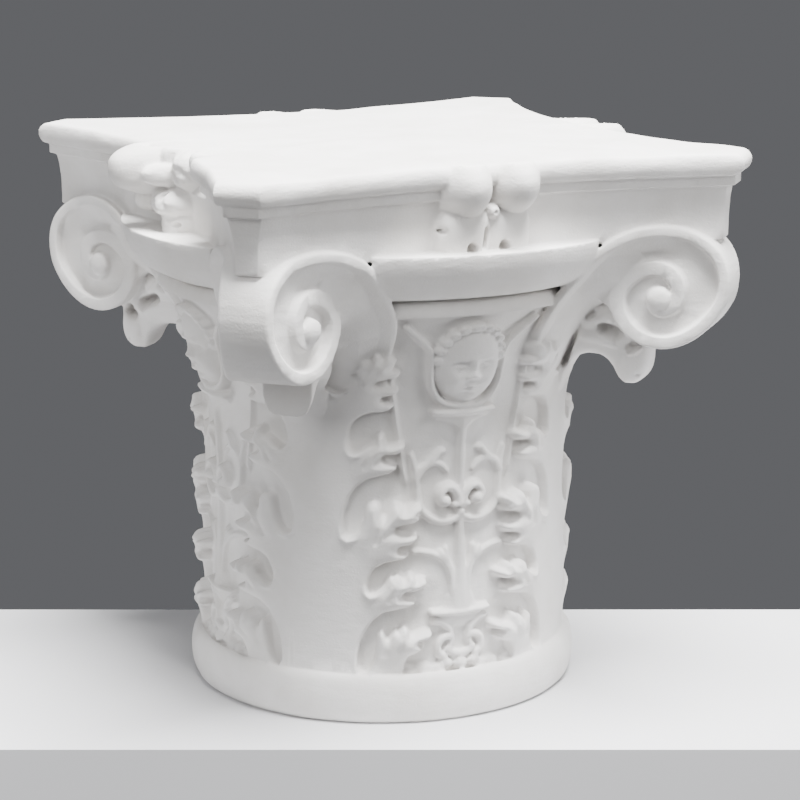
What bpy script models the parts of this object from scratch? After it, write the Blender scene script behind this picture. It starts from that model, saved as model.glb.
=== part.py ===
"""A carved capital, cast in plaster as one block: ring, bell with leaves and candelabra, echinus,
four corner volutes, concave abacus and fleurons. Metres, +Z up, the foot's middle at the origin."""

import math

import bmesh
import bpy
import numpy as np
from mathutils import Matrix, Vector

for old in list(bpy.data.objects):
    bpy.data.objects.remove(old, do_unlink=True)

# Upright sizes
TOTAL_HEIGHT = 0.400
ROLL_HEIGHT = 0.0159
FILLET_HEIGHT = 0.0078
FASCIA_HEIGHT = 0.0382
ECHINUS_LAP = 0.0031
ECHINUS_HEIGHT = 0.0370
LIP_HEIGHT = 0.0098
RING_HEIGHT = 0.0352

# Turned sizes, as radii
FOOT_RADIUS = 0.1351
RING_SWELL = 0.0080
BELL_RADIUS = 0.1272
LIP_RADIUS = 0.1608
ECHINUS_FOOT_RADIUS = 0.1560
ECHINUS_RADIUS = 0.1884

# Abacus
ABACUS_WIDTH = 0.4030
FILLET_SETBACK = 0.0071
FASCIA_SETBACK = 0.0158
ROLL_CORNER_CUT = 0.0222
FILLET_CORNER_CUT = 0.0170
FASCIA_CORNER_CUT = 0.0111
SIDE_HOLLOWS = (0.0250, 0.0350, 0.0390, 0.0320)

# Corner volutes
VOLUTE_REACH = 0.2148
VOLUTE_DROP = 0.0411
VOLUTE_RADIUS = 0.0528
VOLUTE_HALF_WIDTH = 0.0290
VOLUTE_TAPER = 0.25
CHANNEL_DEPTH = 0.0050

# Fleurons on the abacus
FLEURON_WIDTH = 0.0660
FLEURON_PROUD = 0.0130

# Fineness of the finished surfaces, as triangles
BELL_FACES = 5200
VOLUTE_FACES = 380
LEAF_HEAD_FACES = 120
TURNED_SIDES = 44
TRIM = 0.755

HALF_WIDTH = ABACUS_WIDTH / 2
ABACUS_FOOT = TOTAL_HEIGHT - ROLL_HEIGHT - FILLET_HEIGHT - FASCIA_HEIGHT
ECHINUS_TOP = ABACUS_FOOT + ECHINUS_LAP
ECHINUS_FOOT = ECHINUS_TOP - ECHINUS_HEIGHT
LIP_FOOT = ECHINUS_FOOT - LIP_HEIGHT
BELL_HEIGHT = LIP_FOOT - RING_HEIGHT
EYE_HEIGHT = ABACUS_FOOT - VOLUTE_DROP

# The carving is drawn in shares of one measure, counted up from the foot: the bell runs
# from BELL_FROM to BELL_TO of it.
BELL_FROM, BELL_TO = 0.088, 0.736
MEASURE = BELL_HEIGHT / (BELL_TO - BELL_FROM)
ARC = math.radians(1.0) * 0.338


def wrapped_grid(name, across, along, place):
    """Roll a plain grid into a closed skin: u runs round it, v runs from pole to pole."""
    bm = bmesh.new()
    bmesh.ops.create_grid(bm, x_segments=across, y_segments=along, size=0.5)
    mesh = bpy.data.meshes.new(name)
    bm.to_mesh(mesh)
    flat = np.empty(len(mesh.vertices) * 3)
    mesh.vertices.foreach_get("co", flat)
    flat = flat.reshape(-1, 3) + 0.5
    mesh.vertices.foreach_set("co", np.stack(place(flat[:, 0], flat[:, 1]), 1).ravel())
    bm.free()
    bm = bmesh.new()
    bm.from_mesh(mesh)
    bmesh.ops.remove_doubles(bm, verts=bm.verts, dist=1e-6)
    bmesh.ops.dissolve_degenerate(bm, edges=bm.edges, dist=1e-6)
    bmesh.ops.recalc_face_normals(bm, faces=bm.faces)
    bm.to_mesh(mesh)
    bm.free()
    return mesh


def thinned(mesh, faces):
    """The same surface in about this many triangles."""
    work = bpy.data.objects.new("thinning", mesh)
    bpy.context.scene.collection.objects.link(work)
    mesh.calc_loop_triangles()
    thin = work.modifiers.new("thin", "DECIMATE")
    thin.ratio = min(1.0, faces / len(mesh.loop_triangles))
    thin.use_collapse_triangulate = True
    graph = bpy.context.evaluated_depsgraph_get()
    out = bpy.data.meshes.new_from_object(work.evaluated_get(graph))
    out.name = mesh.name
    bpy.data.objects.remove(work, do_unlink=True)
    return out


def smooth(t):
    t = np.clip(t, 0.0, 1.0)
    return t * t * (3.0 - 2.0 * t)


def to_segment(x, z, a, b):
    """Distance to the segment a-b, and the share of the way along it."""
    dx, dz = b[0] - a[0], b[1] - a[1]
    t = np.clip(((x - a[0]) * dx + (z - a[1]) * dz) / (dx * dx + dz * dz + 1e-12), 0.0, 1.0)
    return np.hypot(x - a[0] - t * dx, z - a[1] - t * dz), t


def cone(x, z, a, b, ra, rb, ta, tb):
    """A rounded, tapered bar in relief, with half-widths ra and rb and heights ta and tb."""
    d, t = to_segment(x, z, a, b)
    inside = np.clip(1.0 - d / (ra + (rb - ra) * t), 0.0, 1.0)
    return (ta + (tb - ta) * t) * np.sqrt(1.0 - (1.0 - inside) ** 2.4)


def trail(x, z, points, width, top):
    """One stroke along the points, of even half-width and height."""
    out = np.zeros_like(x)
    for a, b in zip(points[:-1], points[1:]):
        out = np.maximum(out, cone(x, z, a, b, width, width, top, top))
    return out


def blob(x, z, at, rx, rz, top):
    d = ((x - at[0]) / rx) ** 2 + ((z - at[1]) / rz) ** 2
    return top * np.sqrt(np.clip(1.0 - d, 0.0, 1.0))


# Each lobe: root and palm as (degrees from the leaf's rib, height), palm half-width, reach
# of the longest finger, turn of the fan in degrees.
LOBES = (
    ((19.0, 0.094), (24.5, 0.135), 0.024, 0.062, 0.0),
    ((10.0, 0.165), (23.5, 0.235), 0.028, 0.057, 0.0),
    ((8.0, 0.270), (21.0, 0.350), 0.040, 0.062, 12.0),
    ((7.0, 0.415), (18.5, 0.478), 0.032, 0.050, 8.0),
    ((6.5, 0.515), (16.0, 0.612), 0.046, 0.058, 14.0),
)
FAN = ((132.0, 0.62), (72.0, 0.74), (22.0, 1.0), (-38.0, 0.76))
LEAF_TOP = 0.019
TIP_TOP = 0.031


def leaf(deg, z):
    """Half of a leaf: the smooth rib and the hands of fingers at its edge."""
    x = deg * ARC
    edge = np.interp(z, (0.088, 0.12, 0.24, 0.34, 0.42, 0.50, 0.60, 0.70),
                     (14.0, 12.0, 15.0, 9.0, 8.5, 10.5, 7.0, 8.0)) * ARC
    out = LEAF_TOP * smooth((edge - x) / 0.008 + 0.5)
    for root, palm, width, reach, turn in LOBES:
        a = (root[0] * ARC, root[1])
        b = (palm[0] * ARC, palm[1])
        out = np.maximum(out, cone(x, z, a, b, width * 1.1, width, LEAF_TOP, LEAF_TOP + 0.004))
        for angle, share in FAN:
            way = math.radians(angle + turn)
            c = (b[0] + math.cos(way) * reach * share, b[1] + math.sin(way) * reach * share)
            out = np.maximum(out, cone(x, z, b, c, width * 0.70, 0.0115, LEAF_TOP + 0.004, TIP_TOP))
    return out


def head(x, z):
    """A child's head in half relief between leaves, of a calm, general face."""
    up = (z - 0.640) / 0.066
    side = x / 0.056
    out = blob(x, z, (0.0, 0.640), 0.056, 0.068, 0.034)
    on = smooth(out / 0.012)
    out = out - 0.007 * on * np.exp(-((side - 0.38) / 0.20) ** 2 - ((up - 0.08) / 0.11) ** 2)
    out = out + 0.0035 * on * np.exp(-((side - 0.38) / 0.13) ** 2 - ((up - 0.07) / 0.06) ** 2)
    out = out + 0.010 * on * np.exp(-(side / 0.14) ** 2 - ((up + 0.20) / 0.14) ** 2)
    out = out + 0.004 * on * np.exp(-((side - 0.46) / 0.22) ** 2 - ((up + 0.36) / 0.22) ** 2)
    out = out + 0.005 * on * np.exp(-(side / 0.24) ** 2 - ((up + 0.50) / 0.09) ** 2)
    out = out - 0.004 * on * np.exp(-(side / 0.24) ** 2 - ((up + 0.50) / 0.022) ** 2)
    return out


def panel(deg, z):
    """Half of a face between two leaves: head in a calyx, plates, stem and scrolled arms."""
    x = deg * 0.0056
    out = head(x, z)
    for k in range(5):
        way = math.radians(6.0 + 19.0 * k)
        curl = (math.sin(way) * 0.050, 0.650 + math.cos(way) * 0.060)
        out = np.maximum(out, blob(x, z, curl, 0.012, 0.012, 0.026))
    calyx = [(0.0, 0.566), (0.034, 0.573), (0.058, 0.592), (0.066, 0.620), (0.066, 0.668),
             (0.080, 0.682), (0.108, 0.714)]
    out = np.maximum(out, trail(x, z, calyx, 0.0075, 0.020))
    out = np.maximum(out, trail(x, z, [(0.0, 0.556), (0.052, 0.556)], 0.0105, 0.024))
    out = np.maximum(out, trail(x, z, [(0.0, 0.192), (0.050, 0.192)], 0.0085, 0.018))
    out = np.maximum(out, cone(x, z, (0.0, 0.545), (0.0, 0.512), 0.045, 0.008, 0.016, 0.010))
    out = np.maximum(out, cone(x, z, (0.0, 0.52), (0.0, 0.33), 0.0075, 0.0085, 0.012, 0.010))
    out = np.maximum(out, cone(x, z, (0.0, 0.35), (0.0, 0.20), 0.009, 0.024, 0.010, 0.015))
    arm = [(0.0, 0.370), (0.031, 0.359), (0.059, 0.365), (0.077, 0.382), (0.084, 0.405),
           (0.084, 0.432), (0.072, 0.452), (0.050, 0.462), (0.038, 0.478), (0.026, 0.470)]
    out = np.maximum(out, trail(x, z, arm, 0.0075, 0.011))
    out = np.maximum(out, trail(x, z, [(0.084, 0.432), (0.092, 0.470)], 0.0070, 0.010))
    loop = [(0.0, 0.388), (0.012, 0.404), (0.024, 0.414), (0.036, 0.404), (0.030, 0.390)]
    out = np.maximum(out, trail(x, z, loop, 0.0085, 0.015))
    spray = [(0.010, 0.210), (0.014, 0.250), (0.024, 0.282), (0.048, 0.297), (0.086, 0.306)]
    out = np.maximum(out, trail(x, z, spray, 0.0070, 0.011))
    out = np.maximum(out, trail(x, z, [(0.024, 0.282), (0.020, 0.310)], 0.0060, 0.010))
    handle = [(0.048, 0.176), (0.026, 0.168), (0.018, 0.142), (0.036, 0.118), (0.030, 0.098)]
    out = np.maximum(out, trail(x, z, handle, 0.0080, 0.014))
    out = np.maximum(out, trail(x, z, [(0.0, 0.108), (0.020, 0.120)], 0.0080, 0.013))
    for at in (0.0, 0.034, 0.068, 0.105):
        out = np.maximum(out, blob(x, z, (at, 0.094), 0.018, 0.016, 0.013))
    edge = np.interp(z, (0.42, 0.50, 0.60, 0.72), (0.098, 0.112, 0.126, 0.138))
    rim = np.exp(-((x - edge) / 0.006) ** 2) * smooth((z - 0.40) / 0.04)
    return np.maximum(out, 0.011 * rim)


def relief(turn, z):
    """Carved height over the bell, at turn degrees round it and z in the carving's measure."""
    off = np.abs((turn + 45.0) % 90.0 - 45.0)
    out = np.maximum(leaf(45.0 - off, z), panel(off, z))
    return out * smooth((z - BELL_FROM) / 0.006) * smooth((BELL_TO - z) / 0.018)


def bell_mesh():
    """The carved bell, from inside the ring up into the lip."""
    steps = 210
    low, high = RING_HEIGHT * 0.5, LIP_FOOT + LIP_HEIGHT * 0.5

    def place(u, v):
        row = np.rint(v * (steps + 2)).astype(int)
        share = np.clip(row - 1, 0, steps) / steps
        height = low + (high - low) * share
        up = np.clip((height - RING_HEIGHT) / BELL_HEIGHT, 0.0, 1.0)
        turn, level = u * 360.0, BELL_FROM + (BELL_TO - BELL_FROM) * up
        carved = sum(relief(turn + dt, level + dz) for dt in (-0.8, 0.0, 0.8) for dz in (-0.005, 0.0, 0.005)) / 9
        radius = BELL_RADIUS + (ECHINUS_FOOT_RADIUS - BELL_RADIUS) * up ** 8 + MEASURE * carved
        radius = np.where((row == 0) | (row == steps + 2), 0.0, radius)
        way = np.radians(turn)
        return radius * np.sin(way), -radius * np.cos(way), height

    return thinned(wrapped_grid("bell", 576, steps + 2, place), BELL_FACES)


def turned(collection, name, profile, sides):
    """A profile in the XZ plane, from its top on the axis down its outer side, spun round Z."""
    mesh = bpy.data.meshes.new(name)
    mesh.from_pydata([(r, 0.0, z) for r, z in profile], [(k, k + 1) for k in range(len(profile) - 1)], [])
    piece = bpy.data.objects.new(name, mesh)
    collection.objects.link(piece)
    screw = piece.modifiers.new("turn", "SCREW")
    screw.steps = screw.render_steps = sides
    screw.use_merge_vertices = True
    screw.merge_threshold = 0.00001
    return piece


def ring_profile():
    out = [(0.0, RING_HEIGHT)]
    for k in range(8):
        t = math.pi * (0.5 - k / 7)
        out.append((FOOT_RADIUS + RING_SWELL * math.cos(t), RING_HEIGHT * (0.5 + 0.5 * math.sin(t))))
    out[-1] = (FOOT_RADIUS, 0.0)
    return out + [(0.0, 0.0)]


def echinus_profile():
    out = [(0.0, ECHINUS_TOP)]
    for k in range(7):
        t = math.pi / 2 * (1 - k / 6)
        out.append((ECHINUS_FOOT_RADIUS + (ECHINUS_RADIUS - ECHINUS_FOOT_RADIUS) * math.sin(t),
                    ECHINUS_FOOT + ECHINUS_HEIGHT * (1 - math.cos(t))))
    out += [(LIP_RADIUS, LIP_FOOT + LIP_HEIGHT * 0.80), (LIP_RADIUS, LIP_FOOT + LIP_HEIGHT * 0.15),
            (ECHINUS_FOOT_RADIUS, LIP_FOOT), (0.0, LIP_FOOT)]
    return out


def abacus_mesh():
    """Levels from below: half-width, corner cut and height, each side hollowed to its own depth."""
    fascia, fillet = HALF_WIDTH - FASCIA_SETBACK, HALF_WIDTH - FILLET_SETBACK
    foot, neck, crease = ABACUS_FOOT, ABACUS_FOOT + FASCIA_HEIGHT, TOTAL_HEIGHT - ROLL_HEIGHT
    levels = [(0.0, foot, FASCIA_CORNER_CUT)]
    for s in (0.0, 0.45, 0.75, 1.0):
        levels.append((fascia + (fillet - fascia) * s ** 3, foot + (neck - foot) * s,
                       FASCIA_CORNER_CUT + (FILLET_CORNER_CUT - FASCIA_CORNER_CUT) * s ** 3))
    levels.append((fillet, crease, FILLET_CORNER_CUT))
    for k in range(1, 5):
        t = math.pi * (k / 4 - 0.5)
        levels.append((HALF_WIDTH - ROLL_HEIGHT * 0.30 * (1 - math.cos(t)),
                       crease + ROLL_HEIGHT * (0.5 + 0.5 * math.sin(t)) if k < 4 else TOTAL_HEIGHT,
                       ROLL_CORNER_CUT))
    levels.append((0.0, TOTAL_HEIGHT, ROLL_CORNER_CUT))
    side = 10

    def place(u, v):
        level = np.rint(v * (len(levels) - 1)).astype(int)
        table = np.array(levels)
        half, height, cut = table[level, 0], table[level, 1], table[level, 2]
        full = np.where(half > 0, half, 1.0)
        cut = np.where(half > 0, cut, 0.0)
        step = np.rint(u * 4 * (side + 1)).astype(int) % (4 * (side + 1))
        face, k = step // (side + 1), step % (side + 1)
        run = -1.0 + 2.0 * k / side
        hollow = np.array(SIDE_HOLLOWS)[face] * (1 - run * run)
        x, y = run * (full - cut), -(full - hollow)
        way = face * math.pi / 2
        px, py = x * np.cos(way) - y * np.sin(way), x * np.sin(way) + y * np.cos(way)
        on = half > 0
        return np.where(on, px, 0.0), np.where(on, py, 0.0), height

    return wrapped_grid("abacus", 4 * (side + 1), len(levels) - 1, place)


# The volute's outer line, as angle round the eye (0 outward, 90 up) and share of the radius
SPIRAL = ((235.0, 3.00), (200.0, 1.716), (180.0, 1.288), (155.0, 1.034), (135.0, 0.995), (45.0, 1.004),
          (0.0, 0.860), (-45.0, 0.725), (-135.0, 0.644), (-225.0, 0.538), (-315.0, 0.402), (-405.0, 0.258),
          (-495.0, 0.162), (-585.0, 0.136))


def spiral(angle):
    turns = [-a for a, _ in SPIRAL]
    return np.interp(-angle, turns, [r for _, r in SPIRAL]) * VOLUTE_RADIUS


def volute_half(reach):
    return VOLUTE_HALF_WIDTH - VOLUTE_TAPER * (reach - VOLUTE_REACH)


def channel(radius, angle):
    """Depth of the hollow between the coil's ridges, at a point of a volute's face."""
    out = np.zeros_like(radius)
    for k in range(2):
        outer = spiral(angle - 360.0 * k)
        inner = spiral(angle - 360.0 * (k + 1))
        ridge = VOLUTE_RADIUS * (0.14 if k == 0 else 0.17)
        s = np.clip((radius - inner) / np.maximum(outer - ridge - inner, 1e-5), 0.0, 1.0)
        out = np.maximum(out, CHANNEL_DEPTH * np.sin(math.pi * s) ** 0.6)
    return out * smooth((radius - 0.12 * VOLUTE_RADIUS) / (0.1 * VOLUTE_RADIUS))


def corner_frame(corner):
    """Carries (reach along the diagonal, across it, up) to the corner's place."""
    way = math.radians(-135.0 + 90.0 * corner)
    return Matrix(((math.cos(way), -math.sin(way), 0, 0), (math.sin(way), math.cos(way), 0, 0),
                   (0, 0, 1, 0), (0, 0, 0, 1)))


def volute_mesh():
    rows = 44
    rim = 20

    def place(u, v):
        row = np.rint(v * rows).astype(int)
        angle = 160.0 - 360.0 * (u % 1.0)
        outer = spiral(angle)
        rise = smooth((-160.0 - angle) / 40.0)
        outer = outer + (spiral(np.array(160.0)) - outer) * rise
        side = np.where(row <= rows // 2, -1.0, 1.0)
        share = np.minimum(np.minimum(row, rows - row) / rim, 1.0)
        radius = outer * share
        reach = VOLUTE_REACH + radius * np.cos(np.radians(angle))
        band = np.clip((row - rim) / (rows - 2 * rim), 0.0, 1.0) * 2 - 1
        half = volute_half(reach) - channel(radius, angle)
        half = half + 0.0024 * np.sqrt(np.clip(1 - (radius / (0.16 * VOLUTE_RADIUS)) ** 2, 0, 1))
        across = np.where(share < 1.0, side, band) * half
        return reach, across, EYE_HEIGHT + radius * np.sin(np.radians(angle))

    return thinned(wrapped_grid("volute", 96, rows, place), VOLUTE_FACES)


def stalk_mesh():
    """The band that climbs the bell and runs into the volute, with the coil's rim along its edge."""
    ridge, deep = VOLUTE_RADIUS * 0.14, VOLUTE_RADIUS * 0.72
    section = ((0.0, 1), (ridge, 1), (ridge * 1.35, 0), (deep, 0))
    section = [(d, e, 1) for d, e in section] + [(d, e, -1) for d, e in reversed(section)]
    stations = 9

    def place(u, v):
        at = np.rint(u * len(section)).astype(int) % len(section)
        row = np.rint(v * (stations + 2)).astype(int)
        inner = np.clip(row - 1, 0, stations)
        angle = 208.0 - 98.0 * inner / stations
        outer = spiral(angle)
        x = VOLUTE_REACH + outer * np.cos(np.radians(angle))
        z = EYE_HEIGHT + outer * np.sin(np.radians(angle))
        down = np.array([s[0] for s in section])[at]
        down = np.where(down == deep, deep * (0.42 + 0.58 * inner / stations), down)
        full = np.array([s[1] for s in section])[at]
        side = np.array([s[2] for s in section])[at]
        ends = (row == 0) | (row == stations + 2)
        down = np.where(ends, deep * 0.5, down)
        tilt = np.radians(angle)
        x, z = x - down * np.cos(tilt) * 0.55 + down * 0.25, z - down * 0.85
        half = np.minimum(volute_half(x), VOLUTE_HALF_WIDTH * 1.62) - CHANNEL_DEPTH * (1 - full)
        return x, np.where(ends, 0.0, side * half), z

    return wrapped_grid("stalk", len(section), stations + 2, place)


def leaf_head_mesh(broken):
    """The tip of a leaf, curled out below its volute. A broken one ends short."""
    under = ((0.300, 0.500), (0.346, 0.555), (0.3665, 0.608), (0.390, 0.626), (0.421, 0.628),
             (0.447, 0.6085), (0.460, 0.584), (0.474, 0.577), (0.496, 0.585), (0.506, 0.600), (0.513, 0.640))
    width = ((0.300, 0.070), (0.360, 0.062), (0.420, 0.056), (0.470, 0.044), (0.500, 0.036), (0.513, 0.020))
    stop = 0.446 if broken else 0.513
    stations = 18

    def place(u, v):
        row = np.rint(v * (stations + 2)).astype(int)
        share = np.clip(row - 1, 0, stations) / stations
        reach = 0.302 + (stop - 0.302) * share
        low = np.interp(reach, [p[0] for p in under], [p[1] for p in under])
        top = 0.762 - 0.03 * share
        half = np.interp(reach, [p[0] for p in width], [p[1] for p in width])
        way = 2 * math.pi * u
        c, s = np.cos(way), np.sin(way)
        scallop = 1.0 - 0.16 * (0.5 + 0.5 * np.cos(reach * 160.0)) * np.abs(c)
        across = np.sign(c) * np.abs(c) ** 0.7 * half * scallop
        mid, tall = (low + top) / 2, (top - low) / 2
        height = mid + np.sign(s) * np.abs(s) ** 0.7 * tall
        ends = (row == 0) | (row == stations + 2)
        return (reach * MEASURE, np.where(ends, 0.0, across) * MEASURE,
                RING_HEIGHT + (np.where(ends, mid, height) - BELL_FROM) * MEASURE)

    return thinned(wrapped_grid("leaf_head", 32, stations + 2, place), LEAF_HEAD_FACES)


def petal_mesh(size):
    bm = bmesh.new()
    bmesh.ops.create_icosphere(bm, subdivisions=2, radius=1.0)
    bmesh.ops.scale(bm, vec=Vector(size), verts=bm.verts)
    mesh = bpy.data.meshes.new("petal")
    bm.to_mesh(mesh)
    bm.free()
    return mesh


def place_piece(collection, name, mesh, matrix):
    piece = bpy.data.objects.new(name, mesh)
    piece.matrix_world = matrix
    piece.hide_render = True
    piece.display_type = "WIRE"
    collection.objects.link(piece)
    return piece


def fleuron_pieces(collection, face):
    """Four petals and a bud on a heart, in the hollow side of the abacus. The left face's is broken."""
    mid = HALF_WIDTH - SIDE_HOLLOWS[face] - FILLET_SETBACK
    tall = TOTAL_HEIGHT - ECHINUS_TOP
    wide = FLEURON_WIDTH / 2
    broken = face == 3
    petals = [(-0.48, 0.70, 0.52, 0.30, 1.0), (0.48, 0.70, 0.52, 0.30, 1.0),
              (-0.46, 0.27, 0.50, 0.27, 0.8), (0.46, 0.27, 0.50, 0.27, 0.8), (-0.02, 0.50, 0.20, 0.13, 1.5),
              (0.0, 0.45, 0.44, 0.36, 0.4)]
    if broken:
        petals = [(-0.50, 0.72, 0.50, 0.28, 1.0), (0.46, 0.74, 0.36, 0.22, 0.6),
                  (-0.20, 0.30, 0.42, 0.26, 0.5), (0.50, 0.24, 0.30, 0.20, 0.7)]
    turn = Matrix.Rotation(face * math.pi / 2, 4, "Z")
    for k, (x, z, rx, rz, proud) in enumerate(petals):
        deep = FASCIA_SETBACK + FLEURON_PROUD * proud * 0.5
        size = (rx * wide, deep, rz * tall)
        y = -(mid - deep + FLEURON_PROUD * proud)
        at = Matrix.Translation((x * wide, y, ECHINUS_TOP + z * tall))
        place_piece(collection, f"petal_{face}_{k}", petal_mesh(size), turn @ at)


def main():
    shown = bpy.data.collections.new("capital")
    inner = bpy.data.collections.new("joined_shapes")
    for collection in (shown, inner):
        bpy.context.scene.collection.children.link(collection)

    plaster = bpy.data.materials.new("plaster")
    plaster.use_nodes = True
    shader = plaster.node_tree.nodes["Principled BSDF"]
    shader.inputs["Base Color"].default_value = (0.80, 0.79, 0.77, 1.0)
    shader.inputs["Roughness"].default_value = 0.85
    shader.inputs["Metallic"].default_value = 0.0

    capital = turned(shown, "capital", ring_profile(), TURNED_SIDES)

    place_piece(inner, "bell", bell_mesh(), Matrix.Identity(4))
    echinus = turned(inner, "echinus", echinus_profile(), TURNED_SIDES)
    echinus.hide_render = True
    echinus.display_type = "WIRE"
    place_piece(inner, "abacus", abacus_mesh(), Matrix.Identity(4))
    volute, stalk = volute_mesh(), stalk_mesh()
    whole, short = leaf_head_mesh(False), leaf_head_mesh(True)
    for corner in range(4):
        frame = corner_frame(corner)
        place_piece(inner, f"volute_{corner}", volute, frame)
        place_piece(inner, f"stalk_{corner}", stalk, frame)
        place_piece(inner, f"leaf_head_{corner}", short if corner == 0 else whole, frame)
    for face in range(4):
        fleuron_pieces(inner, face)

    join = capital.modifiers.new("join", "BOOLEAN")
    join.operation = "UNION"
    join.operand_type = "COLLECTION"
    join.solver = "EXACT"
    join.collection = inner
    trim = capital.modifiers.new("trim", "DECIMATE")
    trim.ratio = TRIM
    trim.use_collapse_triangulate = True

    graph = bpy.context.evaluated_depsgraph_get()
    cast = bpy.data.meshes.new_from_object(capital.evaluated_get(graph))
    capital.modifiers.clear()
    capital.data = cast
    for vert in cast.vertices:
        for bed in (0.0, TOTAL_HEIGHT):
            if abs(vert.co.z - bed) < 0.00002:
                vert.co.z = bed
    cast.materials.clear()
    cast.materials.append(plaster)


main()
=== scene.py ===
"""A plaster cast of a carved capital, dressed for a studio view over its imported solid."""

import logging
import math
from dataclasses import dataclass, field
from enum import Enum

import bpy
import numpy as np
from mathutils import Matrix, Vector


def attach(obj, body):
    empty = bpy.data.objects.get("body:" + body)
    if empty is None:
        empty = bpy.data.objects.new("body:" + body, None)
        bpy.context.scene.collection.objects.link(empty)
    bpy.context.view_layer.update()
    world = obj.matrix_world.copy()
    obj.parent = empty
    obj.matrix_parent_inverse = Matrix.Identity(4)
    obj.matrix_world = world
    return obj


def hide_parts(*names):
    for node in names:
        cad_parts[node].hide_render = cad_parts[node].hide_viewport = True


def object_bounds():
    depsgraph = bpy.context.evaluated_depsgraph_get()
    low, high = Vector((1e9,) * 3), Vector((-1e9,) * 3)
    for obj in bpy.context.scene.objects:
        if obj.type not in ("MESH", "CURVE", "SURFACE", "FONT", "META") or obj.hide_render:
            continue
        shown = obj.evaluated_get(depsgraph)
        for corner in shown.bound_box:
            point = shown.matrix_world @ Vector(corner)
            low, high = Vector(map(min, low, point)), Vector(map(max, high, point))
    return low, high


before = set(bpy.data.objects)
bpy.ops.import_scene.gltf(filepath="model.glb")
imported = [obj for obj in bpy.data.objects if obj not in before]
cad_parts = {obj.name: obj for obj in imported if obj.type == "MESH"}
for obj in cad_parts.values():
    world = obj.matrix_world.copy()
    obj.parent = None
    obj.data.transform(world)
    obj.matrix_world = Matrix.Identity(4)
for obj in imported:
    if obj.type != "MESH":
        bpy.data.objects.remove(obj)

CAD_BOX = [list(corner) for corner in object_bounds()]

log = logging.getLogger("capital")

HEIGHT = CAD_BOX[1][2] - CAD_BOX[0][2]
"""The capital's height in metres. Every carved size below is a share of it."""

BAR_CROWN = 2.2
"""How full the section of a raised bar is. At 2 it is half a circle."""

SINK_STEEPNESS = 1.35
"""How soon a sunk groove is at its full depth inside its edge."""


class Side(Enum):
    """The four faces of the capital, counted from the one with the whole fleuron seen square on."""

    FRONT = 0
    RIGHT = 1
    BACK = 2
    LEFT = 3


class Corner(Enum):
    """The four corners, counted from the one nearest the camera."""

    NEAR = 0
    RIGHT = 1
    FAR = 2
    LEFT = 3


def corner_turn(corner: Corner) -> np.ndarray:
    """The turn that takes a form built out along the x axis to its corner.

    Args:
        corner: The corner that it goes to.

    Returns:
        A matrix that rows of points are multiplied by.
    """
    way = math.radians(-135.0 + 90.0 * corner.value)
    return np.array([[math.cos(way), math.sin(way), 0.0], [-math.sin(way), math.cos(way), 0.0], [0.0, 0.0, 1.0]])


def smooth(t: np.ndarray) -> np.ndarray:
    """An even step from 0 to 1 as t goes from 0 to 1."""
    t = np.clip(t, 0.0, 1.0)
    return t * t * (3.0 - 2.0 * t)


def eased(t: np.ndarray, xs: tuple[float, ...], ys: tuple[float, ...]) -> np.ndarray:
    """A smooth curve through given points.

    Args:
        t: Where to read it.
        xs: Rising stations.
        ys: Values at the stations.

    Returns:
        The values of a monotone cubic through the points at t.
    """
    x, y = np.asarray(xs, float), np.asarray(ys, float)
    h, d = np.diff(x), np.diff(y) / np.diff(x)
    m = np.zeros_like(y)
    m[0], m[-1] = d[0], d[-1]
    for k in range(1, len(x) - 1):
        if d[k - 1] * d[k] > 0.0:
            w1, w2 = 2.0 * h[k] + h[k - 1], h[k] + 2.0 * h[k - 1]
            m[k] = (w1 + w2) / (w1 / d[k - 1] + w2 / d[k])
    t = np.clip(t, x[0], x[-1])
    k = np.clip(np.searchsorted(x, t, side="right") - 1, 0, len(x) - 2)
    s = (t - x[k]) / h[k]
    a, b = (1 + 2 * s) * (1 - s) ** 2, s * (1 - s) ** 2
    c, e = s * s * (3 - 2 * s), s * s * (s - 1)
    return a * y[k] + b * h[k] * m[k] + c * y[k + 1] + e * h[k] * m[k + 1]


def ripple(x: np.ndarray, y: np.ndarray, z: np.ndarray, size: float, seed: int) -> np.ndarray:
    """Slow unevenness from a few crossed waves.

    Args:
        x: First coordinate.
        y: Second coordinate.
        z: Third coordinate.
        size: Rough length of one swell, in the coordinates' unit.
        seed: Chooses the waves.

    Returns:
        Values of about -1 to 1.
    """
    rng = np.random.default_rng(seed)
    out = np.zeros(np.broadcast(x, y, z).shape)
    for _ in range(7):
        way = rng.normal(size=3)
        way *= rng.uniform(0.6, 1.5) * 2.0 * math.pi / (size * np.linalg.norm(way))
        out += np.sin(x * way[0] + y * way[1] + z * way[2] + rng.uniform(0.0, 6.28))
    return out / 4.0


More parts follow.
